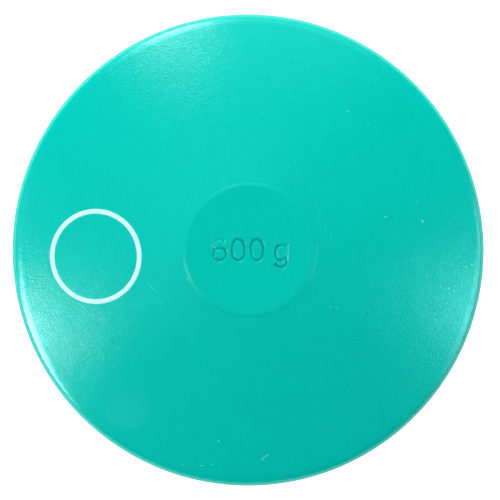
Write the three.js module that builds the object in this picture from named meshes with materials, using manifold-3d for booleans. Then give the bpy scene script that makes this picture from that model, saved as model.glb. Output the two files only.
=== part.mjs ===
// A practice discus, pressed in one piece from solid rubber.
// Both of its faces are the same: a low round boss with the weight sunk into it, and a slightly
// bulging cone that falls away to a shoulder. The shoulder rolls over to a crease, and one rounded
// rim runs between the two creases. A plain white ring is printed on the upper cone.
// Lengths are in millimetres. The disc's axis is +Z, and it rests on its lower boss at z = 0.

import * as THREE from "three";
import { mergeVertices } from "three/addons/utils/BufferGeometryUtils.js";
import Module from "manifold-3d";

// The disc
const discDiameter = 165;
const discThickness = 33;

// The rim, from crease to crease, and how far its middle stands out past the creases
const rimHeight = 8.4;
const rimCrown = 1.7;

// The shoulder's arc, and how steeply it falls where it meets the crease
const shoulderRadius = 9;
const creaseSlope = THREE.MathUtils.degToRad(32);

// The arc of the cone's section, which is nearly straight
const coneRadius = 560;

// The boss in the middle of each face, measured at half the height of its soft step
const bossDiameter = 45;
const bossStepHeight = 0.4;
const bossStepRun = 2.1;

// The weight that is sunk into each boss: three figures and the letter for grams
const markHeight = 7.9;
const markDigitWidth = 5.1;
const markStroke = 0.9;
const markDepth = 0.5;
const markGap = 1.2;
const markWordSpace = 3.2;
const letterHeight = 5.9;
const letterWidth = 4.7;
const letterTail = 2.3;

// Shares of the height of the six or of the letter's tail, and how square the ovals are (2 is an ellipse)
const sixBowlShare = 0.62;
const sixOpeningShare = 0.16;
const tailOpeningShare = 0.4;
const ovalPower = 2.4;

// How far every cutter runs past what it cuts
const cutOverrun = 0.5;

// The printed ring, the bearing of its middle round the axis, and how far out its middle lies, as a
// share of the way from the boss's foot to the crease
const ringDiameter = 32.4;
const ringLine = 1.65;
const ringInkThickness = 0.1;
const ringInkGap = 0.03;
const ringBearing = THREE.MathUtils.degToRad(182.4);
const ringShare = 0.507;

// Steps of the round shapes
const discSteps = 120;
const bossStepSteps = 4;
const coneSteps = 4;
const shoulderSteps = 4;
const rimSteps = 8;
const ovalSteps = 28;
const ringSteps = 96;

const rubber = new THREE.MeshStandardMaterial({ color: 0x06c4b2, roughness: 0.42, metalness: 0 });
const whiteInk = new THREE.MeshStandardMaterial({ color: 0xe4f7f8, roughness: 0.6, metalness: 0 });

// The disc's half section, above its middle plane. The rim is an arc through both creases about a
// centre on the middle plane. The shoulder's arc ends at the crease. The cone's arc starts at the
// boss's foot and runs smoothly into the shoulder's, so the distance between the centres of the two
// is the difference of their radii.
const bossTopRadius = (bossDiameter - bossStepRun) / 2;
const creaseRadius = discDiameter / 2 - rimCrown;
const rimArcRadius = ((rimHeight / 2) ** 2 + rimCrown ** 2) / (2 * rimCrown);
const rimArcAngle = Math.asin(rimHeight / 2 / rimArcRadius);
const bossFoot = new THREE.Vector2((bossDiameter + bossStepRun) / 2, discThickness / 2 - bossStepHeight);
const shoulderCentre = new THREE.Vector2(
  creaseRadius - shoulderRadius * Math.sin(creaseSlope),
  rimHeight / 2 - shoulderRadius * Math.cos(creaseSlope),
);
const centreGap = coneRadius - shoulderRadius;
const footReach = bossFoot.distanceTo(shoulderCentre);
const footCorner = Math.acos(
  (coneRadius ** 2 + footReach ** 2 - centreGap ** 2) / (2 * coneRadius * footReach),
);
const footBearing = shoulderCentre.clone().sub(bossFoot).angle() - footCorner;
const coneCentre = new THREE.Vector2(Math.cos(footBearing), Math.sin(footBearing))
  .multiplyScalar(coneRadius)
  .add(bossFoot);
const coneEndSlope = Math.atan2(shoulderCentre.x - coneCentre.x, shoulderCentre.y - coneCentre.y);
const ringDistance = THREE.MathUtils.lerp(bossFoot.x, creaseRadius, ringShare);

// Slope of the upper cone at a distance from the axis
function coneSlope(radius) {
  return Math.asin((radius - coneCentre.x) / coneRadius);
}

// Height of the upper cone above the middle plane, at a distance from the axis
function coneHeight(radius) {
  return coneCentre.y + coneRadius * Math.cos(coneSlope(radius));
}

// Points of an arc, from one angle to another, both included
function arcPoints(centreRadius, centreHeight, radius, fromAngle, toAngle, steps) {
  const points = [];
  for (let step = 0; step <= steps; step += 1) {
    const angle = THREE.MathUtils.lerp(fromAngle, toAngle, step / steps);
    const out = centreRadius + radius * Math.cos(angle);
    points.push(new THREE.Vector2(out, centreHeight + radius * Math.sin(angle)));
  }
  return points;
}

// The boss's soft step, as half a wave from its flat top down to the cone
function bossStepPoints() {
  const points = [];
  for (let step = 0; step <= bossStepSteps; step += 1) {
    const along = step / bossStepSteps;
    const down = (1 - Math.cos(Math.PI * along)) / 2;
    const out = bossTopRadius + bossStepRun * along;
    points.push(new THREE.Vector2(out, discThickness / 2 - bossStepHeight * down));
  }
  return points;
}

// The whole section, from the middle of the lower face round the rim to the middle of the upper one
function discSection() {
  const shoulder = arcPoints(shoulderCentre.x, shoulderCentre.y, shoulderRadius,
    Math.PI / 2 - creaseSlope, Math.PI / 2 - coneEndSlope, shoulderSteps);
  const cone = arcPoints(coneCentre.x, coneCentre.y, coneRadius,
    Math.PI / 2 - coneEndSlope, Math.PI / 2 - coneSlope(bossFoot.x), coneSteps);
  const bossStep = bossStepPoints().reverse();
  const upper = [...shoulder, ...cone.slice(1, -1), ...bossStep, new THREE.Vector2(0, discThickness / 2)];
  const lower = upper.map((point) => new THREE.Vector2(point.x, -point.y)).reverse();
  const rimCentre = discDiameter / 2 - rimArcRadius;
  const rim = arcPoints(rimCentre, 0, rimArcRadius, -rimArcAngle, rimArcAngle, rimSteps);
  return [...lower, ...rim.slice(1, -1), ...upper];
}

// Triangles that share their vertices, with the empty ones at the axis left out
function sharedVertices(geometry) {
  geometry.deleteAttribute("normal");
  geometry.deleteAttribute("uv");
  const merged = mergeVertices(geometry);
  const corners = merged.index.array;
  const kept = [];
  for (let corner = 0; corner < corners.length; corner += 3) {
    const [a, b, c] = corners.slice(corner, corner + 3);
    if (a !== b && b !== c && c !== a) kept.push(a, b, c);
  }
  merged.setIndex(kept);
  return merged;
}

const wasm = await Module();
wasm.setup();

function toSolid(geometry) {
  const shared = sharedVertices(geometry);
  const vertProperties = new Float32Array(shared.attributes.position.array);
  const triVerts = new Uint32Array(shared.index.array);
  return new wasm.Manifold(new wasm.Mesh({ numProp: 3, vertProperties, triVerts }));
}

function toGeometry(solid) {
  const mesh = solid.getMesh();
  const geometry = new THREE.BufferGeometry();
  geometry.setAttribute("position", new THREE.BufferAttribute(mesh.vertProperties, 3));
  geometry.setIndex(new THREE.BufferAttribute(mesh.triVerts, 1));
  geometry.computeVertexNormals();
  return geometry;
}

// A closed oval, a little squarer than an ellipse, as the outline of a figure or of its counter
function ovalPoints(centreX, centreY, width, height) {
  const power = 2 / ovalPower;
  const points = [];
  for (let step = 0; step < ovalSteps; step += 1) {
    const angle = (2 * Math.PI * step) / ovalSteps;
    const across = Math.sign(Math.cos(angle)) * Math.abs(Math.cos(angle)) ** power;
    const up = Math.sign(Math.sin(angle)) * Math.abs(Math.sin(angle)) ** power;
    points.push(new THREE.Vector2(centreX + (width / 2) * across, centreY + (height / 2) * up));
  }
  return points;
}

// Every cutter starts at the floor of the sunk mark and stands out of the face
const cutterHeight = markDepth + cutOverrun;

function cutter(shape) {
  return toSolid(new THREE.ExtrudeGeometry(shape, { depth: cutterHeight, bevelEnabled: false }));
}

function ovalStroke(centreX, centreY, width, height) {
  const shape = new THREE.Shape(ovalPoints(centreX, centreY, width, height));
  const counter = ovalPoints(centreX, centreY, width - 2 * markStroke, height - 2 * markStroke);
  shape.holes.push(new THREE.Path(counter));
  return cutter(shape);
}

function boxStroke(left, bottom, right, top) {
  const corners = [[left, bottom], [right, bottom], [right, top], [left, top]];
  return cutter(new THREE.Shape(corners.map(([x, y]) => new THREE.Vector2(x, y))));
}

// Each figure and letter stands on the line y = 0, with its left edge at x = 0
function zero() {
  return ovalStroke(markDigitWidth / 2, markHeight / 2, markDigitWidth, markHeight);
}

// A bowl, and a tall oval about the bowl's own centre that is kept on the left side and over the top
function six() {
  const middle = markDigitWidth / 2;
  const bowlHeight = markHeight * sixBowlShare;
  const bowlCentre = bowlHeight / 2;
  const openingTop = markHeight * (1 - sixOpeningShare);
  const past = markDigitWidth + cutOverrun;
  const bowl = ovalStroke(middle, bowlCentre, markDigitWidth, bowlHeight);
  const sweep = ovalStroke(middle, bowlCentre, markDigitWidth, 2 * (markHeight - bowlCentre));
  const below = boxStroke(-cutOverrun, -markHeight, past, bowlCentre);
  const opening = boxStroke(middle, -markHeight, past, openingTop);
  return bowl.add(sweep.subtract(below).subtract(opening));
}

// A bowl, a stem down its right side, and a tail that turns back to the left under the line
function gram() {
  const middle = letterWidth / 2;
  const past = letterWidth + cutOverrun;
  const bowl = ovalStroke(middle, letterHeight / 2, letterWidth, letterHeight);
  const stem = boxStroke(letterWidth - markStroke, 0, letterWidth, letterHeight);
  const tail = ovalStroke(middle, 0, letterWidth, 2 * letterTail);
  const above = boxStroke(-cutOverrun, 0, past, letterTail + cutOverrun);
  const opening = boxStroke(-cutOverrun, -letterTail * tailOpeningShare, middle, cutOverrun);
  return bowl.add(stem).add(tail.subtract(above).subtract(opening));
}

// The whole mark, centred on the axis, with its floor at z = 0
function markCutter() {
  const digitPitch = markDigitWidth + markGap;
  const letterStart = 2 * digitPitch + markDigitWidth + markWordSpace;
  const markWidth = letterStart + letterWidth;
  return six()
    .add(zero().translate([digitPitch, 0, 0]))
    .add(zero().translate([2 * digitPitch, 0, 0]))
    .add(gram().translate([letterStart, 0, 0]))
    .translate([-markWidth / 2, -markHeight / 2, 0]);
}

// The rubber body, with the same mark in its upper face and, turned over the X axis, in its lower one
function rubberBody() {
  const turned = new THREE.LatheGeometry(discSection(), discSteps);
  turned.rotateX(Math.PI / 2);
  turned.translate(0, 0, discThickness / 2);
  const upperMark = markCutter().translate([0, 0, discThickness - markDepth]);
  const lowerMark = markCutter().rotate([180, 0, 0]).translate([0, 0, markDepth]);
  const body = new THREE.Mesh(toGeometry(toSolid(turned).subtract(upperMark).subtract(lowerMark)), rubber);
  body.name = "rubber_body";
  return body;
}

// One edge of the ring's ink: a circle laid on the slope, then dropped onto the cone
function ringEdge(radius, lift) {
  const points = [];
  for (let step = 0; step < ringSteps; step += 1) {
    const angle = (2 * Math.PI * step) / ringSteps;
    const outward = ringDistance + radius * Math.cos(angle) * Math.cos(coneSlope(ringDistance));
    const sideways = radius * Math.sin(angle);
    const height = discThickness / 2 + coneHeight(Math.hypot(outward, sideways)) + lift;
    points.push(new THREE.Vector3(outward, sideways, height));
  }
  return points;
}

// The ring's ink is a closed band between four edges, which follow one another round its section
function printedRing() {
  const outer = ringDiameter / 2;
  const inner = outer - ringLine;
  const low = ringInkGap;
  const high = ringInkGap + ringInkThickness;
  const edges = [ringEdge(outer, low), ringEdge(outer, high), ringEdge(inner, high), ringEdge(inner, low)];
  const corners = [];
  edges.forEach((edge, side) => {
    const nextEdge = edges[(side + 1) % edges.length];
    edge.forEach((point, step) => {
      const next = (step + 1) % ringSteps;
      corners.push(point, edge[next], nextEdge[next], point, nextEdge[next], nextEdge[step]);
    });
  });
  const band = new THREE.BufferGeometry().setFromPoints(corners);
  band.computeVertexNormals();
  const ring = new THREE.Mesh(band, whiteInk);
  ring.name = "printed_ring";
  ring.rotation.z = ringBearing;
  return ring;
}

const discus = new THREE.Group();
discus.add(rubberBody());
discus.add(printedRing());

export default discus;
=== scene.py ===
# %% [markdown]
# A rubber practice discus, seen from straight above
#
# The discus is one solid block of teal rubber, pressed in a mould of two halves, with a ring of
# white ink printed on one face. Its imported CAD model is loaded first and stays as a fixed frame.
# Everything below is built round that frame, in metres, with +Z up and the disc lying on z = 0.

# %% Load the frame
import math

import bmesh
import bpy
import numpy as np
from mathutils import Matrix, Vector, noise
from mathutils.bvhtree import BVHTree
from mathutils.geometry import delaunay_2d_cdt


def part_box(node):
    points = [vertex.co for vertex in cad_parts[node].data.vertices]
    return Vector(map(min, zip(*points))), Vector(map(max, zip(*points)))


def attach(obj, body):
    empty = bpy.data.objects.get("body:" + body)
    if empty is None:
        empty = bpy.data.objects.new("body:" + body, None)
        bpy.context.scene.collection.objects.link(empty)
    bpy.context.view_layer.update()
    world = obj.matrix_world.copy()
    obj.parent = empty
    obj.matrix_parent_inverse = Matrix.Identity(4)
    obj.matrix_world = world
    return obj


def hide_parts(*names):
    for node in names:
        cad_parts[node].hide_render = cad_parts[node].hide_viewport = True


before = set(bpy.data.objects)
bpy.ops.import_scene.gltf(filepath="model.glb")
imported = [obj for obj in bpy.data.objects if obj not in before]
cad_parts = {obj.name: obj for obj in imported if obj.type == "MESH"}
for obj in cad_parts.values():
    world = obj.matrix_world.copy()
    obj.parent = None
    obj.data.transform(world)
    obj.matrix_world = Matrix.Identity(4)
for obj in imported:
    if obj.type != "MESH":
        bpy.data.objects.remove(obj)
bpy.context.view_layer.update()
lowest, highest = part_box("rubber_body")
mm = 0.001
disc_radius = (highest.x - lowest.x) / 2
half_thickness = (highest.z - lowest.z) / 2
print(f"disc {2000 * disc_radius:.1f} mm across and {2000 * half_thickness:.1f} mm thick")

# %% [markdown]
# The camera
#
# The photograph looks down on the disc, so its outline is a circle. A circle looks the same from
# any distance, but two other things tell where the lens was: the printed ring lies on a slope and
# is squashed a little along it, and the boss is half a disc's thickness nearer than the rim and
# stands two pixels to the right of the middle. Both fit a lens about 440 mm above the rim and
# 10 mm to the left of its middle. The outline isn't quite in the middle of the picture either, so
# the frame is shifted by one pixel.

# %% Stand the camera over the disc
photo_side = 500
outline_radius_px = 235.8
framing_px = 0.97
camera_height = 440 * mm
camera_offset = -10.4 * mm


def add_object(name, data):
    """A new object in the scene, made of that data."""
    item = bpy.data.objects.new(name, data)
    bpy.context.scene.collection.objects.link(item)
    return item


camera_data = bpy.data.cameras.new("camera")
camera = add_object("camera", camera_data)
bpy.context.scene.camera = camera
half_view = disc_radius * (photo_side / 2) / outline_radius_px
camera_data.lens = camera_data.sensor_width / 2 * camera_height / half_view
camera_data.shift_x = framing_px / photo_side
camera_tilt = math.atan2(-camera_offset, camera_height)
camera.location = (camera_offset, 0, half_thickness + camera_height)
camera.rotation_euler = (0, -camera_tilt, 0)
print(f"lens {camera_data.lens:.1f} mm, tilt {math.degrees(camera_tilt):.2f} degrees")

# %% [markdown]
# The section of the disc
#
# Half a section is enough, because the disc is turned about its axis and its two faces are alike.
# It runs from the flat of the boss over a soft step, down a cone that bulges very slightly, round
# the shoulder to a crease, and round the rim to the middle plane. A mould can't make a true edge
# in rubber, so the section is drawn densely and then averaged over a short reach, which rounds
# every corner alike. The sizes are the CAD part's own.

# %% Name the section's sizes
boss_diameter = 45 * mm
boss_step_height = 0.4 * mm
boss_step_run = 2.1 * mm
rim_height = 8.4 * mm
rim_crown = 1.7 * mm
shoulder_radius = 9 * mm
crease_slope = math.radians(32)
cone_radius = 560 * mm

boss_top_radius = (boss_diameter - boss_step_run) / 2
boss_foot = np.array([(boss_diameter + boss_step_run) / 2, half_thickness - boss_step_height])
crease_radius = disc_radius - rim_crown
shoulder_centre = np.array([
    crease_radius - shoulder_radius * math.sin(crease_slope),
    rim_height / 2 - shoulder_radius * math.cos(crease_slope),
])
print(f"boss {2000 * boss_top_radius:.1f} mm across its flat, crease {2000 * crease_radius:.1f} mm")

# %% [markdown]
# The cone's arc starts at the boss's foot and has to run smoothly into the shoulder's arc. Two
# arcs do that when the distance between their centres is the difference of their radii, which
# gives the cone's centre from the three sides of one triangle.

# %% Find the centre of the cone's arc
centre_gap = cone_radius - shoulder_radius
foot_reach = math.dist(boss_foot, shoulder_centre)
foot_corner = math.acos(
    (cone_radius ** 2 + foot_reach ** 2 - centre_gap ** 2) / (2 * cone_radius * foot_reach)
)
to_shoulder = shoulder_centre - boss_foot
foot_bearing = math.atan2(to_shoulder[1], to_shoulder[0]) - foot_corner
cone_centre = boss_foot + cone_radius * np.array([math.cos(foot_bearing), math.sin(foot_bearing)])
cone_end_slope = math.atan2(*(shoulder_centre - cone_centre))


def cone_slope(radius):
    return math.asin((radius - cone_centre[0]) / cone_radius)


print(f"the cone falls {math.degrees(cone_slope(boss_foot[0])):.1f} degrees at the boss "
      f"and {math.degrees(cone_end_slope):.1f} at the shoulder")


# %% Make the helpers that draw an arc and the boss's step
def arc(centre, radius, from_angle, to_angle, steps):
    angles = np.linspace(from_angle, to_angle, steps)
    return np.column_stack([
        centre[0] + radius * np.cos(angles),
        centre[1] + radius * np.sin(angles),
    ])


def soft_step(steps):
    """Half a wave, from the flat of the boss down to the cone."""
    along = np.linspace(0, 1, steps)
    down = (1 - np.cos(np.pi * along)) / 2
    return np.column_stack([
        boss_top_radius + boss_step_run * along,
        half_thickness - boss_step_height * down,
    ])


print(f"the step falls {boss_step_height / mm:.1f} mm over {boss_step_run / mm:.1f} mm")

# %% Make the helpers that space and round a line
dense_gap = 0.05 * mm
corner_reach = 0.35 * mm


def spaced(line, gap):
    """The same line, with its points an even gap apart."""
    lengths = np.append(0, np.cumsum(np.hypot(*np.diff(line, axis=0).T)))
    places = np.linspace(0, lengths[-1], int(round(lengths[-1] / gap)) + 1)
    return np.column_stack([np.interp(places, lengths, line[:, axis]) for axis in (0, 1)])


def averaged(line, reach, gap):
    """The line with its corners rounded over a reach. Its two ends stay."""
    half = int(round(reach / gap))
    window = np.hanning(2 * half + 3)[1:-1]
    window /= window.sum()
    before = 2 * line[0] - line[half:0:-1]
    after = 2 * line[-1] - line[-2:-half - 2:-1]
    longer = np.vstack([before, line, after])
    return np.column_stack([np.convolve(longer[:, axis], window, mode="valid") for axis in (0, 1)])


print(f"corners are rounded over {corner_reach / mm:.2f} mm either way")

# %% Draw half the section densely
cone_steps = 200
bend_steps = 60
upright = math.pi / 2
rim_arc_radius = ((rim_height / 2) ** 2 + rim_crown ** 2) / (2 * rim_crown)
rim_arc_angle = math.asin(rim_height / 2 / rim_arc_radius)
cone_start = upright - cone_slope(boss_foot[0])
cone_end = upright - cone_end_slope

cone = arc(cone_centre, cone_radius, cone_start, cone_end, cone_steps)
shoulder = arc(shoulder_centre, shoulder_radius, cone_end, upright - crease_slope, bend_steps)
rim = arc((disc_radius - rim_arc_radius, 0), rim_arc_radius, rim_arc_angle, 0, bend_steps)
section = spaced(np.vstack([soft_step(bend_steps), cone[1:], shoulder[1:], rim[1:]]), dense_gap)
section = averaged(section, corner_reach, dense_gap)
print(f"section of {len(section)} points, {1000 * section[:, 0].max():.2f} mm out")

# %% [markdown]
# The mould's parting line
#
# Where the two mould halves met, round the middle of the rim, a thin line of rubber squeezed out
# and was trimmed. It is a fine ridge. The rim is set back by the ridge's height, so that the
# ridge's crest keeps the disc's full diameter.

# %% Raise the parting line
parting_height = 0.12 * mm
parting_width = 0.3 * mm
ridge = parting_height * np.exp(-((section[:, 1] / parting_width) ** 2))
on_rim = np.clip((section[:, 0] - crease_radius) / rim_crown, 0, 1)
section[:, 0] += (ridge - parting_height) * on_rim
print(f"a ridge {parting_height / mm:.2f} mm high, its crest {1000 * section[-1, 0]:.2f} mm out")

# %% [markdown]
# The disc is turned from rings. They lie close together only where the section bends: over the
# boss's step, round the shoulder and the rim, and closest at the parting line.

# %% Pick the rings of the mesh
step_ring_gap = 0.25 * mm
parting_ring_gap = 0.12 * mm
bend_ring_gap = 0.3 * mm
cone_ring_gap = 1.0 * mm
past_step = 0.6 * mm
parting_reach = 3 * parting_width


def ring_gap(radius, height):
    if radius < boss_foot[0] + past_step:
        return step_ring_gap
    if height < parting_reach:
        return parting_ring_gap
    if radius > shoulder_centre[0]:
        return bend_ring_gap
    return cone_ring_gap


rings = [section[0]]
for point in section[1:-1]:
    if math.dist(point, rings[-1]) >= ring_gap(*point):
        rings.append(point)
rings = np.array([*rings, section[-1]])
print(f"{len(rings)} rings from the boss to the middle plane")

# %% [markdown]
# The weight sunk into the boss
#
# A plain weight mark is pressed into each boss: three figures and the letter for grams. Carving it
# with a boolean would give razor edges, but letters pressed in rubber have soft walls. So each
# stroke is a centre line, and a point's depth follows from its distance to the nearest centre line.
# Figures on such moulds are rounder than a box and squarer than a circle, which the ovals copy.

# %% Draw an oval stroke
mark_height = 7.9 * mm
digit_width = 5.1 * mm
mark_stroke = 0.9 * mm
oval_power = 2.4
oval_steps = 49


def rounded(values):
    """The sides of a circle, drawn out a little towards the corners of its box."""
    return np.sign(values) * np.abs(values) ** (2 / oval_power)


def oval(left, bottom, width, height, from_turn=0.0, to_turn=1.0):
    """The centre line of an oval stroke whose outer edge fills that box, between two turns."""
    angles = 2 * np.pi * np.linspace(from_turn, to_turn, oval_steps)
    across = rounded(np.cos(angles)) * (width - mark_stroke) / 2
    up = rounded(np.sin(angles)) * (height - mark_stroke) / 2
    middle = np.array([left + width / 2, bottom + height / 2])
    return middle + np.column_stack([across, up])


print(f"figures {digit_width / mm:.1f} by {mark_height / mm:.1f} mm")

# %% Draw each figure as centre lines
letter_height = 5.9 * mm
letter_width = 4.7 * mm
letter_tail = 2.3 * mm
six_bowl_share = 0.62
six_end = 0.14
tail_end = -0.42


def six(left):
    """A bowl, and a taller oval about the same middle that sweeps up its left side."""
    bowl = mark_height * six_bowl_share
    sweep = 2 * (mark_height - bowl / 2)
    return [
        oval(left, 0, digit_width, bowl),
        oval(left, bowl / 2 - sweep / 2, digit_width, sweep, six_end, 0.5),
    ]


def nought(left):
    return [oval(left, 0, digit_width, mark_height)]


def gram(left):
    """A bowl, a stem down its right side, and a tail under the line."""
    stem = left + letter_width - mark_stroke / 2
    return [
        oval(left, 0, letter_width, letter_height),
        np.array([[stem, letter_height - mark_stroke / 2], [stem, 0]]),
        oval(left, -letter_tail, letter_width, 2 * letter_tail, tail_end, 0),
    ]


print(f"the letter is {letter_width / mm:.1f} by {letter_height / mm:.1f} mm above its tail")

# %% Write the mark
mark_gap = 1.2 * mm
word_space = 3.2 * mm
pitch = digit_width + mark_gap
letter_left = 2 * pitch + digit_width + word_space
mark_width = letter_left + letter_width
strokes = [*six(0), *nought(pitch), *nought(2 * pitch), *gram(letter_left)]
strokes = [line - (mark_width / 2, mark_height / 2) for line in strokes]
print(f"a mark {1000 * mark_width:.1f} mm wide, of {len(strokes)} strokes")

# %% Measure how far a point is from the nearest stroke
segments = np.vstack([np.hstack([line[:-1], line[1:]]) for line in strokes])


def stroke_distance(points):
    starts, ends = segments[:, :2], segments[:, 2:]
    along = ends - starts
    reach = points[:, None, :] - starts[None]
    share = np.clip((reach * along).sum(2) / (along ** 2).sum(1), 0, 1)
    return np.linalg.norm(reach - share[..., None] * along, axis=2).min(1)


print(f"{len(segments)} segments of centre line")

# %% [markdown]
# The mould didn't press every stroke alike. In the photograph the top of the first figure and the
# last stroke on the right are almost gone, so the depth fades towards two places.

# %% Give each point of the boss its depth
mark_depth = 0.5 * mm
wall_run = 0.16 * mm
faint_places = [((-11.2 * mm, 3.2 * mm), 3.0 * mm), ((13.4 * mm, -0.4 * mm), 2.6 * mm)]
faint_share = 0.75


def smooth(values):
    values = np.clip(values, 0, 1)
    return values * values * (3 - 2 * values)


def mark_sinking(points):
    distance = stroke_distance(points)
    inside = smooth((mark_stroke / 2 + wall_run - distance) / (2 * wall_run))
    pressed = np.ones(len(points))
    for place, reach in faint_places:
        away = np.linalg.norm(points - place, axis=1)
        pressed *= 1 - faint_share * (1 - smooth((away - reach / 2) / reach))
    return mark_depth * inside * pressed


print(f"sunk by {mark_depth / mm:.1f} mm, and by {mark_depth * (1 - faint_share) / mm:.2f} where faint")

# %% [markdown]
# Meshing the boss
#
# Triangles are spent where the mark is. Rows of points follow each stroke at chosen distances, so
# that the soft walls are made of even strips, and a coarse net fills the rest of the boss. One
# Delaunay triangulation joins them all, out to the boss's edge.

# %% Make the helper for one row of points
turn_steps = 360
turns = 2 * np.pi * np.arange(turn_steps) / turn_steps
circle = np.column_stack([np.cos(turns), np.sin(turns)])
cap_steps = 15
cap = circle[::turn_steps // cap_steps]


def stroke_row(line, distance, gap):
    """Points on both sides of a stroke and round its ends, at one distance from its centre line."""
    line = spaced(line, gap)
    ahead = np.gradient(line, axis=0)
    ahead /= np.linalg.norm(ahead, axis=1)[:, None]
    aside = np.column_stack([-ahead[:, 1], ahead[:, 0]])
    caps = [line[end] + distance * cap for end in (0, -1)]
    return np.vstack([line + distance * aside, line - distance * aside, *caps])


print(f"{len(cap)} points round each end of a stroke")

# %% Set out rows of points along the strokes
# Each row's distance from the centre line, and the gap between its points, in millimetres
rows = [
    (0.0, 0.2), (0.29, 0.2), (0.37, 0.2), (0.45, 0.2), (0.53, 0.2),
    (0.61, 0.2), (0.8, 0.3), (1.1, 0.45), (1.6, 0.6),
]
row_play = 0.02 * mm

row_points = []
for distance, gap in rows:
    found = np.vstack([stroke_row(line, distance * mm, gap * mm) for line in strokes])
    row_points.append(found[np.abs(stroke_distance(found) - distance * mm) < row_play])
print(f"{sum(len(found) for found in row_points)} points in {len(rows)} rows")

# %% Fill the rest of the boss with a net
net_gap = 0.9 * mm
net_clearance = 2.0 * mm
least_gap = 0.06 * mm

net_line = np.arange(-boss_top_radius, boss_top_radius, net_gap)
net = np.array([(x + (row % 2) * net_gap / 2, y) for row, y in enumerate(net_line) for x in net_line])
net_kept = np.hypot(*net.T) < boss_top_radius - net_gap / 2
net_kept &= stroke_distance(net) > net_clearance
inner_points = np.vstack([*row_points, net[net_kept]])
_, first = np.unique(np.round(inner_points / least_gap).astype(int), axis=0, return_index=True)
inner_points = inner_points[np.sort(first)]
print(f"{len(inner_points)} points inside the boss")

# %% Join the points into triangles
# The triangulation works in millimetres, and takes points this near each other for one
same_place = 1e-5
flat = [Vector(point * 1000) for point in np.vstack([boss_top_radius * circle, inner_points])]
joined = delaunay_2d_cdt(flat, [], [], 0, same_place)
flat_points = np.array([tuple(point) for point in joined[0]]) * mm
flat_faces = [list(face) for face in joined[2]]
print(f"{len(flat_faces)} triangles in the boss")

# %% [markdown]
# Turning the disc
#
# The rings are turned about the axis and closed by the boss. The lower half is the same half
# turned over about the X axis, so that its mark also reads the right way round from its own side.

# %% Turn the rings and find the boss's edge
edge_play = 1e-7
ring_points = np.concatenate([
    np.column_stack([radius * circle, np.full(turn_steps, height)]) for radius, height in rings[1:]
])
boss_points = np.column_stack([flat_points, half_thickness - mark_sinking(flat_points)])
edge_index = np.flatnonzero(np.hypot(*flat_points.T) > boss_top_radius - edge_play)
edge_turns = np.mod(np.arctan2(flat_points[edge_index, 1], flat_points[edge_index, 0]), 2 * np.pi)
edge_index = edge_index[np.argsort(edge_turns)]
from_start = np.linalg.norm(flat_points[edge_index] - (boss_top_radius, 0), axis=1)
edge_index = np.roll(edge_index, -int(np.argmin(from_start)))
print(f"{len(edge_index)} points round the boss's edge")

# %% Join the rings, and add the other half
loops = [edge_index + len(ring_points)]
loops += [np.arange(turn_steps) + turn_steps * number for number in range(len(rings) - 1)]
half_faces = [[corner + len(ring_points) for corner in face] for face in flat_faces]
for inner, outer in zip(loops, loops[1:]):
    for step in range(turn_steps):
        after = (step + 1) % turn_steps
        half_faces.append([inner[step], outer[step], outer[after], inner[after]])
upper = np.vstack([ring_points, boss_points])
lower = upper * (1, -1, -1)
both = np.vstack([upper, lower]) + (0, 0, half_thickness)
faces = half_faces + [[corner + len(upper) for corner in face] for face in half_faces]
print(f"{len(both)} points and {len(faces)} faces in the two halves")

# %% Make the mesh, with the halves welded at the middle plane
weld_reach = 0.002 * mm


def make_mesh(name, points, faces, weld=0.0):
    """A closed mesh with its faces turned outwards, and points nearer than the weld made one."""
    mesh = bpy.data.meshes.new(name)
    mesh.from_pydata(points, [], faces)
    shape = bmesh.new()
    shape.from_mesh(mesh)
    if weld:
        bmesh.ops.remove_doubles(shape, verts=shape.verts, dist=weld)
    bmesh.ops.recalc_face_normals(shape, faces=shape.faces)
    shape.to_mesh(mesh)
    shape.free()
    mesh.shade_smooth()
    return mesh


whole_faces = [[int(corner) for corner in face] for face in faces]
body_mesh = make_mesh("moulded_rubber", both.tolist(), whole_faces, weld_reach)
triangles = sum(len(polygon.vertices) - 2 for polygon in body_mesh.polygons)
print(f"{len(body_mesh.vertices)} points and {triangles} triangles in the body")

# %% [markdown]
# Thick rubber shrinks a little unevenly as it cools, so the whole skin gets a faint waviness. Two
# sizes of noise push each point along its normal, always inwards, so the disc stays in its box.

# %% Add the waviness of cooled rubber
wave_height = 0.035 * mm
wave_length = 16 * mm
narrow_length = wave_length / 3
narrow_share = 0.3
narrow_start = Vector((7, 3, 5))


def waviness(place):
    wide = noise.noise(place / wave_length)
    narrow = noise.noise(place / narrow_length + narrow_start)
    return wave_height * (wide + narrow_share * narrow)


moved = [v.co + v.normal * (waviness(v.co) - wave_height) for v in body_mesh.vertices]
body_mesh.vertices.foreach_set("co", np.array(moved, np.float32).ravel())
body_mesh.update()
rubber_body = add_object("moulded_rubber", body_mesh)
print(f"waves {wave_height / mm:.3f} mm high and {wave_length / mm:.0f} mm long")

# %% [markdown]
# The printed ring
#
# A pad printed the ring in white ink. It is a circle laid on the slope, and the ink is a film a few
# hundredths of a millimetre thick, with an edge that wanders a little. Rays dropped onto the rubber
# give the height of every point, so the film follows the skin, waviness and all.

# %% Find the ring's place and drop points onto the skin
ring_share = 0.507
drop_height = 4 * half_thickness
ring_low, ring_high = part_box("printed_ring")
ring_middle = (ring_low + ring_high) / 2
ring_bearing = math.atan2(ring_middle.y, ring_middle.x)
ring_distance = boss_foot[0] + ring_share * (crease_radius - boss_foot[0])
skin = BVHTree.FromPolygons([v.co for v in body_mesh.vertices], [p.vertices for p in body_mesh.polygons])
straight_down = Vector((0, 0, -1))


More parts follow.
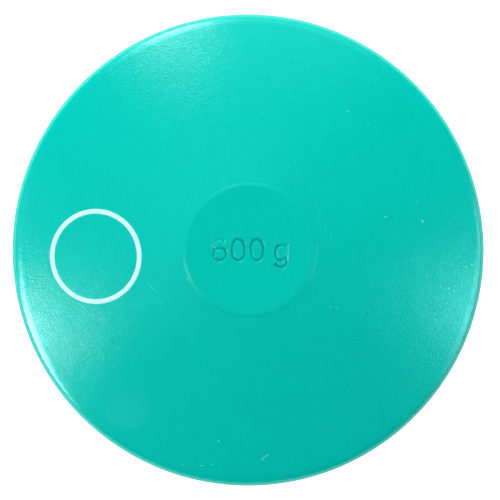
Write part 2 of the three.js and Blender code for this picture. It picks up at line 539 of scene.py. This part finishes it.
def on_skin(outward, sideways, lift):
    x = outward * math.cos(ring_bearing) - sideways * math.sin(ring_bearing)
    y = outward * math.sin(ring_bearing) + sideways * math.cos(ring_bearing)
    touched = skin.ray_cast(Vector((x, y, drop_height)), straight_down)[0]
    return touched + Vector((0, 0, lift))


print(f"ring {1000 * (ring_high.y - ring_low.y):.1f} mm tall, {1000 * ring_distance:.1f} mm from the axis")

# %% Make the helper for a point of the ink
ring_diameter = 32.4 * mm
ring_line = 1.65 * mm
ink_edge_wander = 0.05 * mm
ink_edge_lumps = 9


def ink_place(angle, across, lift):
    """across is 0 at the ring's inner edge and 1 at its outer edge."""
    radius = ring_diameter / 2 - ring_line * (1 - across)
    edge = Vector((math.cos(angle), math.sin(angle), across)) * ink_edge_lumps
    off_middle = 2 * abs(across - 0.5)
    radius += ink_edge_wander * noise.noise(edge) * off_middle
    outward = ring_distance + radius * math.cos(angle) * math.cos(cone_slope(ring_distance))
    return on_skin(outward, radius * math.sin(angle), lift)


print(f"a line {ring_line / mm:.2f} mm wide whose edges wander by {ink_edge_wander / mm:.2f} mm")

# %% Lay the ink on the rubber
ink_thickness = 0.04 * mm
ink_steps = 288
# The film's outline: shares of the way across the line, and of the ink's thickness
film = [(0, -1), (0.02, 0.6), (0.08, 1), (0.5, 1), (0.92, 1), (0.98, 0.6), (1, -1)]

ink_points = []
ink_faces = []
for step in range(ink_steps):
    angle = 2 * math.pi * step / ink_steps
    ink_points += [tuple(ink_place(angle, across, share * ink_thickness)) for across, share in film]
    here, after = step * len(film), (step + 1) % ink_steps * len(film)
    for side in range(len(film)):
        other = (side + 1) % len(film)
        ink_faces.append([here + side, here + other, after + other, after + side])
ink_ring = add_object("ink_ring", make_mesh("ink_ring", ink_points, ink_faces))
print(f"{len(ink_points)} points and {len(ink_faces)} faces in the ink")

# %% [markdown]
# Tools for the finishes
#
# Both finishes are node materials with no pictures, painted in millimetres over the object's own
# coordinates. A few small helpers keep them readable: they add a node, do a sum, turn a stretch of
# values into a soft 0 to 1, make noise of a given size, and mix two colours.


# %% Make the helpers that add nodes
def fill(socket, source):
    """Links a socket to another node's output, or sets its own value."""
    if isinstance(source, bpy.types.NodeSocket):
        socket.id_data.links.new(source, socket)
    else:
        socket.default_value = source


def add_node(tree, kind, sockets=(), **settings):
    node = tree.nodes.new(kind)
    for name, value in settings.items():
        setattr(node, name, value)
    for name, source in dict(sockets).items():
        fill(node.inputs[name], source)
    return node


def new_material(name):
    material = bpy.data.materials.new(name)
    material.use_nodes = True
    print(f"material {name}")
    return material, material.node_tree, material.node_tree.nodes["Principled BSDF"]


# %% Make the helpers that do sums
def maths(tree, operation, first, second=0.0):
    return add_node(tree, "ShaderNodeMath", {0: first, 1: second}, operation=operation).outputs[0]


def length(tree, vector):
    return add_node(tree, "ShaderNodeVectorMath", {0: vector}, operation="LENGTH").outputs["Value"]


def fade(tree, value, low, high, to_low=0.0, to_high=1.0):
    """Runs softly from one number to another while the value runs from low to high."""
    node = add_node(tree, "ShaderNodeMapRange", {
        "Value": value, "From Min": low, "From Max": high, "To Min": to_low, "To Max": to_high,
    }, interpolation_type="SMOOTHSTEP")
    return node.outputs["Result"]


# %% Make the helpers for noise, colour and place
def clouds(tree, place, size, detail=2.0):
    """Soft noise from 0 to 1 whose lumps are about that many millimetres across."""
    node = add_node(tree, "ShaderNodeTexNoise", {"Vector": place, "Scale": 1 / size, "Detail": detail})
    return node.outputs["Fac"]


def tint(tree, share, colour, other):
    """A colour with a share of another. The colours are inputs 6 and 7 of a Mix node."""
    return add_node(tree, "ShaderNodeMix", {0: share, 6: colour, 7: other}, data_type="RGBA").outputs[2]


def millimetres(tree):
    """The object's own coordinates, in millimetres."""
    place = add_node(tree, "ShaderNodeTexCoord").outputs["Object"]
    scaled = add_node(tree, "ShaderNodeVectorMath", {0: place, "Scale": 1 / mm}, operation="SCALE")
    return scaled.outputs[0]


# %% [markdown]
# The rubber
#
# The teal is nearly the same all over. What gives it life is small: broad faint clouds, a fine
# dark mottle and a paler one, each mixed in by a tenth to a quarter.

# %% Mix the rubber's colour
teal = (0.0, 0.56, 0.465, 1)
pale_teal = (0.06, 0.66, 0.60, 1)
deep_teal = (0.0, 0.46, 0.38, 1)
light_teal = (0.0, 0.64, 0.55, 1)
# Each cloud's size in millimetres, its detail, the noise where it starts and is full, its share
# and its colour
cloud_tints = [
    (22, 3, 0.30, 0.70, 0.10, deep_teal),
    (0.5, 2, 0.35, 0.75, 0.26, deep_teal),
    (2.4, 2, 0.35, 0.70, 0.12, light_teal),
]
rubber, tree, skin_shader = new_material("teal_rubber")
place = millimetres(tree)
colour = teal
for size, detail, low, high, share, other in cloud_tints:
    colour = tint(tree, fade(tree, clouds(tree, place, size, detail), low, high, 0, share), colour, other)
print(f"{len(cloud_tints)} layers of cloud in the teal")

# %% [markdown]
# Wear on the rubber
#
# Throws and storage have left small marks on the face. Each is an ellipse laid on the skin, in the
# object's own millimetres: long and thin for a scratch, round for a pit. The node that places it
# shrinks the ellipse to a circle of radius 1, so the distance from its middle gives its strength.
# Its depth is cut short, so that no mark shows through on the other face.

# %% Make the helpers for the marks
wear_level = 27
wear_depth = 16


def mark(tree, place, middle, half_length, half_width, turn=0.0, core=0.0):
    """1 in the mark's core and 0 outside it, on the upper face."""
    inside = add_node(tree, "ShaderNodeMapping", {
        "Vector": place, "Location": (*middle, wear_level), "Rotation": (0, 0, math.radians(turn)),
        "Scale": (half_length, half_width, wear_depth),
    }, vector_type="TEXTURE")
    return fade(tree, length(tree, inside.outputs[0]), core, 1.0, 1.0, 0.0)


def strongest(tree, masks):
    joined = masks[0]
    for other in masks[1:]:
        joined = maths(tree, "MAXIMUM", joined, other)
    return joined


print(f"marks end {wear_level - wear_depth} mm above the table")

# %% [markdown]
# A fan of fine scratches runs over the boss's edge at the upper right, and a few longer dark ones
# cross the lower left. Small white scuffs sit near the front edge and on the right, where grit
# has also broken the skin. Each entry holds the mark's middle, its half length and half width in
# millimetres, and its turn in degrees.

# %% Place the scratches
scratches = [
    ((13.1, 29.4), 2.4, 0.24, -58), ((15.3, 30.1), 3.6, 0.20, -67), ((16.9, 25.6), 3.2, 0.22, -59),
    ((17.2, 22.3), 2.7, 0.24, -78), ((15.8, 23.9), 3.4, 0.20, -66), ((19.1, 17.0), 3.4, 0.22, -62),
    ((20.6, 21.6), 4.4, 0.18, -70), ((22.4, 15.0), 5.2, 0.18, -80), ((12.0, 33.6), 2.2, 0.18, -52),
    ((23.6, 10.0), 7.0, 0.18, -88), ((25.6, 7.5), 6.0, 0.18, -89), ((27.2, 3.0), 7.5, 0.16, -90),
    ((-33.0, -13.0), 3.2, 0.20, -40), ((-30.5, -17.5), 2.4, 0.18, -48), ((-21.3, -10.0), 2.0, 0.26, -62),
]
dark_scratches = [
    ((-54.4, -36.5), 3.2, 0.30, 29), ((-61.4, -41.2), 3.4, 0.32, 31), ((-57.6, -38.8), 8.0, 0.22, 32),
    ((-44.5, -29.8), 7.5, 0.22, 34), ((-29.0, -31.5), 6.0, 0.20, 18), ((-42.5, -38.5), 1.0, 0.50, -5),
]
scratch = strongest(tree, [mark(tree, place, *where) for where in scratches])
dark_scratch = strongest(tree, [mark(tree, place, *where) for where in dark_scratches])
print(f"{len(scratches)} fine scratches and {len(dark_scratches)} dark ones")

# %% Place the scuffs and pits
scuff_core = 0.4
pit_core = 0.3
scuffs = [
    ((-10.6, -65.6), 0.55, 0.40, 20), ((5.6, -71.0), 1.9, 0.28, 32), ((4.6, -72.2), 0.8, 0.35, 10),
    ((-16.5, -74.4), 1.0, 0.25, 0), ((-23.0, -74.2), 0.5, 0.22, 0), ((-12.6, -74.0), 0.6, 0.22, 20),
    ((59.4, 9.9), 0.8, 0.5, -50), ((46.4, 11.4), 0.7, 0.35, 10), ((33.6, 47.6), 0.5, 0.35, 0),
    ((27.4, -19.3), 0.6, 0.25, 0), ((29.6, -19.5), 0.4, 0.25, 0), ((40.6, 43.0), 0.3, 0.25, 0),
]
pits = [
    ((39.9, -21.7), 0.55, 0.40, 70), ((41.2, -22.1), 0.30, 0.25, 0), ((38.8, -23.1), 0.28, 0.25, 0),
    ((-16.4, -18.6), 0.65, 0.40, -20), ((-4.2, -18.0), 0.35, 0.30, 0), ((33.6, -46.2), 0.35, 0.60, 0),
    ((4.0, -54.4), 0.30, 0.28, 0), ((-2.2, -18.6), 0.24, 0.22, 0), ((-44.4, 2.8), 0.26, 0.22, 0),
]
scuff = strongest(tree, [mark(tree, place, *where, core=scuff_core) for where in scuffs])
pit = strongest(tree, [mark(tree, place, *where, core=pit_core) for where in pits])
print(f"{len(scuffs)} scuffs and {len(pits)} pits")

# %% [markdown]
# Grit is scattered, so it comes from a pattern of cells: each cell holds one round speck of its own
# size, and a number of its own says whether it shows. Few do, except by the right edge. The rim
# has none, because a pattern that is flat in plan would draw its specks out down the rim's side.

# %% Shape the specks of grit
cells_per_mm = 0.45
smallest_speck = 0.08
largest_speck = 0.24
speck_softness = 0.10

cells = {"Vector": place, "Scale": cells_per_mm}
specks = add_node(tree, "ShaderNodeTexVoronoi", cells, voronoi_dimensions="2D")
chance = add_node(tree, "ShaderNodeSeparateColor", {"Color": specks.outputs["Color"]})
speck_radius = fade(tree, chance.outputs["Red"], 0.0, 1.0, smallest_speck, largest_speck)
speck_depth = maths(tree, "SUBTRACT", speck_radius, specks.outputs["Distance"])
grit = fade(tree, speck_depth, 0.0, speck_softness)
print(f"a cell of grit every {1 / cells_per_mm:.1f} mm")

# %% Choose where the grit shows
usual_share = 0.012
gritty_share = 0.70
share_softness = 0.03
gritty_place = ((74, -24), 30, 16, -78)
gritty_core = 0.1
grit_ends = 3.0
grit_full = 4.2

gritty = mark(tree, place, *gritty_place, core=gritty_core)
speck_share = maths(tree, "ADD", maths(tree, "MULTIPLY", gritty, gritty_share), usual_share)
shows = fade(tree, maths(tree, "SUBTRACT", speck_share, chance.outputs["Blue"]), 0.0, share_softness)
grit = maths(tree, "MULTIPLY", grit, shows)
axes = add_node(tree, "ShaderNodeSeparateXYZ", {0: place})
height_off_middle = maths(tree, "SUBTRACT", axes.outputs["Z"], half_thickness / mm)
from_middle = maths(tree, "ABSOLUTE", height_off_middle)
grit = maths(tree, "MULTIPLY", grit, fade(tree, from_middle, grit_ends, grit_full))
print(f"specks fill {usual_share:.1%} of the cells, and {gritty_share:.0%} by the right edge")

# %% [markdown]
# Two marks at the lower left stand in for the gleam there: a pale round patch is a painted highlight at its
# edge, and a spot of duller rubber has its teal darkened as painted shade, where the gleam is weaker. Noise
# breaks them up. The sunk mark, below the flat of each boss, is darkened by dirt and by painted shade in
# its grooves.

# %% Lay the patch of painted highlight and the spot of painted shade
patch_place = ((-42.0, -54.5), 8.6, 8.0, 0)
patch_core = 0.86
patch_clouds = 7
dull_shaded_spot_place = ((-59, -25.5), 8.0, 3.6, -18)
dull_shaded_spot_core = 0.1
dull_shaded_spot_clouds = 2.5

# The patch lightens the teal as a painted highlight
patch = mark(tree, place, *patch_place, core=patch_core)
patch_noise = fade(tree, clouds(tree, place, patch_clouds), 0.3, 0.6, 0.3, 1.0)
patch = maths(tree, "MULTIPLY", patch, patch_noise)
# The spot is duller rubber, and its darker teal is painted shade
dull_shaded_spot = mark(tree, place, *dull_shaded_spot_place, core=dull_shaded_spot_core)
dull_shaded_spot_noise = fade(tree, clouds(tree, place, dull_shaded_spot_clouds, 3), 0.3, 0.7)
dull_shaded_spot = maths(tree, "MULTIPLY", dull_shaded_spot, dull_shaded_spot_noise)
print(f"a patch {2 * patch_place[1]:.1f} mm across and a smudge {2 * dull_shaded_spot_place[1]:.1f} mm long")

# %% Lay the dirt and the painted shade in the mark
dirt_and_shade_full = 0.30
dirt_and_shade_starts = 0.12
boss_face_radius = 19.0
boss_face_end = 19.5

in_plan = add_node(tree, "ShaderNodeVectorMath", {0: place, 1: (1, 1, 0)}, operation="MULTIPLY")
on_boss = fade(tree, length(tree, in_plan.outputs[0]), boss_face_radius, boss_face_end, 1.0, 0.0)
boss_level = half_thickness / mm
# The teal darkens with depth in the mark, from dirt and from painted shade in the grooves
sunk = fade(tree, from_middle, boss_level - dirt_and_shade_full, boss_level - dirt_and_shade_starts, 1.0, 0.0)
dirt_and_shade_in_mark = maths(tree, "MULTIPLY", sunk, on_boss)
print(f"dirt lies more than {dirt_and_shade_starts} mm below the boss's flat")

# %% [markdown]
# Every kind of wear, each painted highlight and each painted shade is a mask, and each mask mixes its own
# colour into the teal by its own share. Scratched and scuffed rubber turns pale, and dirt and pits are
# dark. The pale patch is a painted highlight, and the spot at the lower left and the mark's grooves are
# darkened as painted shade.

# %% Tint the rubber with its wear and its painted light and shade
# Dark teal for dirt in scratches and the mark, and for the painted shade in the mark's grooves
dirt_and_shade_teal = (0.0, 0.36, 0.31, 1)
pit_teal = (0.01, 0.24, 0.22, 1)
scuff_teal = (0.40, 0.90, 0.87, 1)
grit_teal = (0.14, 0.86, 0.80, 1)
tints_of_wear_and_painted_light = [
    # The patch is a painted highlight, and the spot's darker teal is painted shade
    (patch, 0.10, pale_teal),
    (dull_shaded_spot, 0.30, deep_teal),
    (scratch, 0.45, pale_teal),
    (dark_scratch, 0.90, dirt_and_shade_teal),
    (pit, 0.75, pit_teal),
    (scuff, 0.32, scuff_teal),
    (grit, 0.60, grit_teal),
    # The mark's darker teal is dirt, and painted shade in its grooves
    (dirt_and_shade_in_mark, 0.40, dirt_and_shade_teal),
]
for mask, share, other in tints_of_wear_and_painted_light:
    colour = tint(tree, maths(tree, "MULTIPLY", mask, share), colour, other)
fill(skin_shader.inputs["Base Color"], colour)
print(f"{len(tints_of_wear_and_painted_light)} kinds of wear in the teal")

# %% [markdown]
# The relief does most of the work. Grain and grit stand up by hundredths of a millimetre, and
# scratches and pits are sunk by as much, so that a highlight breaks up into sparkle. This relief is
# too fine for the mesh, so a bump node makes it.

# %% Give it grain
grain_size = 0.42
grain_height = 0.047
dimple_size = 3.5
dimple_height = 0.035
scratch_depth = 0.04
grit_height = 0.05

grain = maths(tree, "MULTIPLY", clouds(tree, place, grain_size, 0), grain_height)
dimples = maths(tree, "MULTIPLY", clouds(tree, place, dimple_size, 1), dimple_height)
scratched = maths(tree, "MULTIPLY", maths(tree, "MAXIMUM", scratch, pit), scratch_depth)
height = maths(tree, "SUBTRACT", maths(tree, "ADD", grain, dimples), scratched)
height = maths(tree, "ADD", height, maths(tree, "MULTIPLY", grit, grit_height))
bump = add_node(tree, "ShaderNodeBump", {"Height": height, "Strength": 1.0, "Distance": mm})
fill(skin_shader.inputs["Normal"], bump.outputs["Normal"])
fill(skin_shader.inputs["Coat Normal"], bump.outputs["Normal"])
print(f"grain {grain_size} mm across and {grain_height} mm high")

# %% [markdown]
# Moulded rubber carries a thin film of oil and wax that bloomed to its skin. A coat over the base
# gives that gloss. The base's own gleam is tinted a little blue-green, while the coat mirrors the
# light clean. The coat is thinner where clouds of it have worn away, in the wear and on the trimmed
# rim. Where the rubber is worn, its base is rougher too.

# %% Make the coat thinner where it has worn
gloss_clouds = 7
thin_coat = 0.8
worn_coat_loss = 0.6
rim_coat = 0.05
rim_coat_ends = 3.2
full_coat_from = 4.6

worn = strongest(tree, [dull_shaded_spot, scuff, dark_scratch, dirt_and_shade_in_mark])
unworn = maths(tree, "SUBTRACT", 1.0, maths(tree, "MULTIPLY", worn, worn_coat_loss))
sheen = fade(tree, clouds(tree, place, gloss_clouds, 3), 0.3, 0.7, 1.0, thin_coat)
sheen = maths(tree, "MULTIPLY", sheen, unworn)
off_rim = fade(tree, from_middle, rim_coat_ends, full_coat_from, rim_coat, 1.0)
sheen = maths(tree, "MULTIPLY", sheen, off_rim)
fill(skin_shader.inputs["Coat Weight"], sheen)
print(f"the coat is whole from {full_coat_from} mm off the middle plane")

# %% Give it gloss
least_roughness = 0.20
most_roughness = 0.26
worn_roughness = 0.2

dullness = clouds(tree, place, gloss_clouds, 3)
dullness = fade(tree, dullness, 0.3, 0.7, least_roughness, most_roughness)
dullness = maths(tree, "ADD", dullness, maths(tree, "MULTIPLY", worn, worn_roughness))
fill(skin_shader.inputs["Roughness"], dullness)
skin_shader.inputs["Coat Roughness"].default_value = 0.15
skin_shader.inputs["Coat IOR"].default_value = 1.7
skin_shader.inputs["Specular IOR Level"].default_value = 0.75
skin_shader.inputs["Specular Tint"].default_value = (0.0, 0.85, 1.0, 1)
rubber_body.data.materials.append(rubber)
print(f"the rubber's material has {len(tree.nodes)} nodes")

# %% [markdown]
# The ink
#
# White ink on teal rubber is a little thin, so some of the rubber's colour comes through it.

# %% Mix the ink
thin_ink = (0.50, 0.80, 0.83, 1)
full_ink = (0.62, 0.88, 0.92, 1)
ink_clouds = 1.2
ink, tree, ink_shader = new_material("white_ink")
covered = fade(tree, clouds(tree, millimetres(tree), ink_clouds, 3), 0.3, 0.6)
fill(ink_shader.inputs["Base Color"], tint(tree, covered, thin_ink, full_ink))
ink_shader.inputs["Roughness"].default_value = 0.5
ink_ring.data.materials.append(ink)
print(f"the ink's material has {len(tree.nodes)} nodes")

# %% [markdown]
# The table
#
# The disc lies on a white table. The floor is a pale matt sheet that also glows for the camera, so
# that it reads as white while the lamps stay at the level that suits the rubber. The glow is a
# little weaker close to the disc, so that its shadow and the teal light that it casts still show.

# %% Lay the floor
floor_half = 3.0
floor_mesh = bpy.data.meshes.new("floor")
floor_corners = [(floor_half * x, floor_half * y, 0) for x, y in ((-1, -1), (1, -1), (1, 1), (-1, 1))]
floor_mesh.from_pydata(floor_corners, [], [(0, 1, 2, 3)])
floor = add_object("floor", floor_mesh)
print(f"a floor {2 * floor_half:.0f} m wide")

# %% Make the floor glow for the camera
near_glow = 0.80
near_reach = 90
far_reach = 400
mirrored_glow = 0.05
paper, tree, paper_shader = new_material("white_table")
paper_shader.inputs["Base Color"].default_value = (0.6, 0.6, 0.6, 1)
paper_shader.inputs["Roughness"].default_value = 0.9
paper_shader.inputs["Emission Color"].default_value = (1, 1, 1, 1)
seen = add_node(tree, "ShaderNodeLightPath")
by_distance = fade(tree, length(tree, millimetres(tree)), near_reach, far_reach, near_glow, 1.0)
looked_at = maths(tree, "MULTIPLY", seen.outputs["Is Camera Ray"], by_distance)
mirrored = maths(tree, "MULTIPLY", seen.outputs["Is Glossy Ray"], mirrored_glow)
fill(paper_shader.inputs["Emission Strength"], maths(tree, "ADD", looked_at, mirrored))
floor_mesh.materials.append(paper)
print(f"a glow of {near_glow} near the disc and 1 from {far_reach} mm out")

# %% [markdown]
# The lights
#
# Five broad soft boxes light the disc evenly, most of it from the back, and are left out of
# reflections. The gleam has boxes of its own. The bright crescents on the shoulder come from three
# strips. The cone of the disc mirrors the low end of a strip and the shoulder mirrors the rest, up
# to 74 degrees from overhead at the crease, so each strip is a stack of boxes that get brighter
# towards the table. Three wide faint boxes lay a haze over the cone round the crescents.

# %% Make the helper for a soft box
lamp_distance = 1.2
white_light = math.pi * math.pi * lamp_distance ** 2


def soft_box(name, bearing, tilt, wide, tall, brightness, colour=(1, 1, 1)):
    """A box that faces the disc, its angles in degrees. A brightness of 1 looks white."""
    bearing, tilt = math.radians(bearing), math.radians(tilt)
    light = bpy.data.lights.new(name, "AREA")
    light.shape = "RECTANGLE"
    light.size = 2 * lamp_distance * math.tan(math.radians(wide / 2))
    if tilt:
        # A degree of bearing is a shorter way near overhead
        light.size *= math.sin(tilt)
    light.size_y = 2 * lamp_distance * math.tan(math.radians(tall / 2))
    light.energy = brightness * math.pi * light.size * light.size_y
    light.color = colour
    lamp = add_object(name, light)
    away = Vector((math.sin(tilt) * math.cos(bearing), math.sin(tilt) * math.sin(bearing), math.cos(tilt)))
    lamp.location = away * lamp_distance
    lamp.rotation_euler = (-away).to_track_quat("-Z", "Y").to_euler()
    lamp.visible_camera = False
    share = light.energy / white_light * math.cos(tilt)
    print(f"{name}: {1000 * light.size:.0f} by {1000 * light.size_y:.0f} mm, {share:.3f} of the full light")
    return lamp


# %% Set up the boxes that reflections don't see
# Each box's bearing, its tilt from overhead, its width and height in degrees, and its brightness
fills = [
    ("overhead_fill", 0, 0, 80, 80, 0.20),
    ("back_fill", 81, 68, 50, 36, 5.5),
    ("right_fill", -18, 64, 60, 36, 0.45),
    ("left_fill", 188, 60, 50, 30, 1.15),
    ("low_front_fill", -60, 84, 120, 10, 1.8),
]
for fill_box in fills:
    soft_box(*fill_box).visible_glossy = False

# %% Set up the strips and the haze
cool = (0.42, 1.0, 1.0)
haze = (0.28, 1.0, 1.0)
gleams = [
    ("front_left_1", 203, 39, 14, 8, 2.8),
    ("front_left_2", 199, 51, 20, 16, 9.4),
    ("front_left_3", 205.5, 66, 22, 13, 13.2),
    ("back_left_1", 108, 41, 10, 8, 1.2),
    ("back_left_2", 108, 51, 13, 16, 5.0),
    ("back_left_3", 108, 66, 14, 13, 10.2),
    ("right_1", -15, 40, 14, 8, 1.2, cool),
    ("right_2", -14, 51, 17, 16, 4.1, cool),
    ("right_3", -10, 66, 40, 12, 2.0),
    ("back_haze", 90, 52, 56, 34, 0.52, haze),
    ("left_haze", 192, 54, 56, 34, 0.36, haze),
    ("right_haze", -12, 58, 44, 34, 0.44, haze),
]
for gleam_box in gleams:
    soft_box(*gleam_box)

# %% [markdown]
# The table in the photograph shines like a light table, and lights the rim from below. A round lamp
# laid on the floor does the same, without brightening anything that faces up.

# %% Light the rim from the table
glow_size = 0.5
glow_brightness = 0.85
glow_lift = 0.2 * mm
glow_data = bpy.data.lights.new("table_glow", "AREA")
glow_data.shape = "DISK"
glow_data.size = glow_size
glow_data.energy = glow_brightness * math.pi * math.pi * (glow_size / 2) ** 2
table_glow = add_object("table_glow", glow_data)
table_glow.location = (0, 0, glow_lift)
table_glow.rotation_euler = (math.pi, 0, 0)
table_glow.visible_camera = False
table_glow.visible_glossy = False
print(f"a round lamp {1000 * glow_size:.0f} mm across under the disc")

# %% [markdown]
# The room is white to the camera and nearly dark to everything else, so it adds no light of its
# own but a little near the horizon. A patch of pale ceiling, high over the back left, shows only in
# reflections: the flat of the boss and the cone next to it mirror it, which lifts them a little.

# %% Lay the patch of ceiling
# It fades in from the first number to the second, along each axis of the room
ceiling_edges = [("Z", 0.985, 0.950), ("Z", 0.86, 0.930), ("Y", -0.32, -0.05), ("X", 0.24, 0.02)]

world = bpy.data.worlds.new("room")
bpy.context.scene.world = world
world.use_nodes = True
tree = world.node_tree
seen = add_node(tree, "ShaderNodeLightPath")
around = add_node(tree, "ShaderNodeTexCoord").outputs["Generated"]
way = add_node(tree, "ShaderNodeSeparateXYZ", {0: around})
ceiling = seen.outputs["Is Glossy Ray"]
for axis, outside, inside in ceiling_edges:
    ceiling = maths(tree, "MULTIPLY", ceiling, fade(tree, way.outputs[axis], outside, inside))
print(f"a patch of ceiling with {len(ceiling_edges)} soft edges")

# %% Fill the room with an even light
room_glow = 0.005
wall_glow = 0.25
wall_top = 0.25
ceiling_glow = 0.22
white = (1, 1, 1, 1)
ceiling_colour = (0.25, 1.0, 1.0, 1)

wall = fade(tree, way.outputs["Z"], 0.0, wall_top, wall_glow, room_glow)
glow = maths(tree, "ADD", wall, maths(tree, "MULTIPLY", ceiling, ceiling_glow))
unseen = maths(tree, "SUBTRACT", 1.0, seen.outputs["Is Camera Ray"])
strength = maths(tree, "ADD", maths(tree, "MULTIPLY", glow, unseen), seen.outputs["Is Camera Ray"])
background = tree.nodes["Background"]
fill(background.inputs["Strength"], strength)
fill(background.inputs["Color"], tint(tree, ceiling, white, ceiling_colour))
bpy.context.scene.view_settings.view_transform = "Standard"
print(f"a room at {room_glow} of white, {wall_glow} at the horizon")

# %% [markdown]
# Fixing the pieces to the frame
#
# Both pieces ride on the disc's one body and stand in for the CAD solids of the same place.

# %% Tie everything to the frame
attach(rubber_body, "root")
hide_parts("rubber_body")
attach(ink_ring, "root")
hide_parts("printed_ring")
print(f"pieces {rubber_body.name} and {ink_ring.name}")
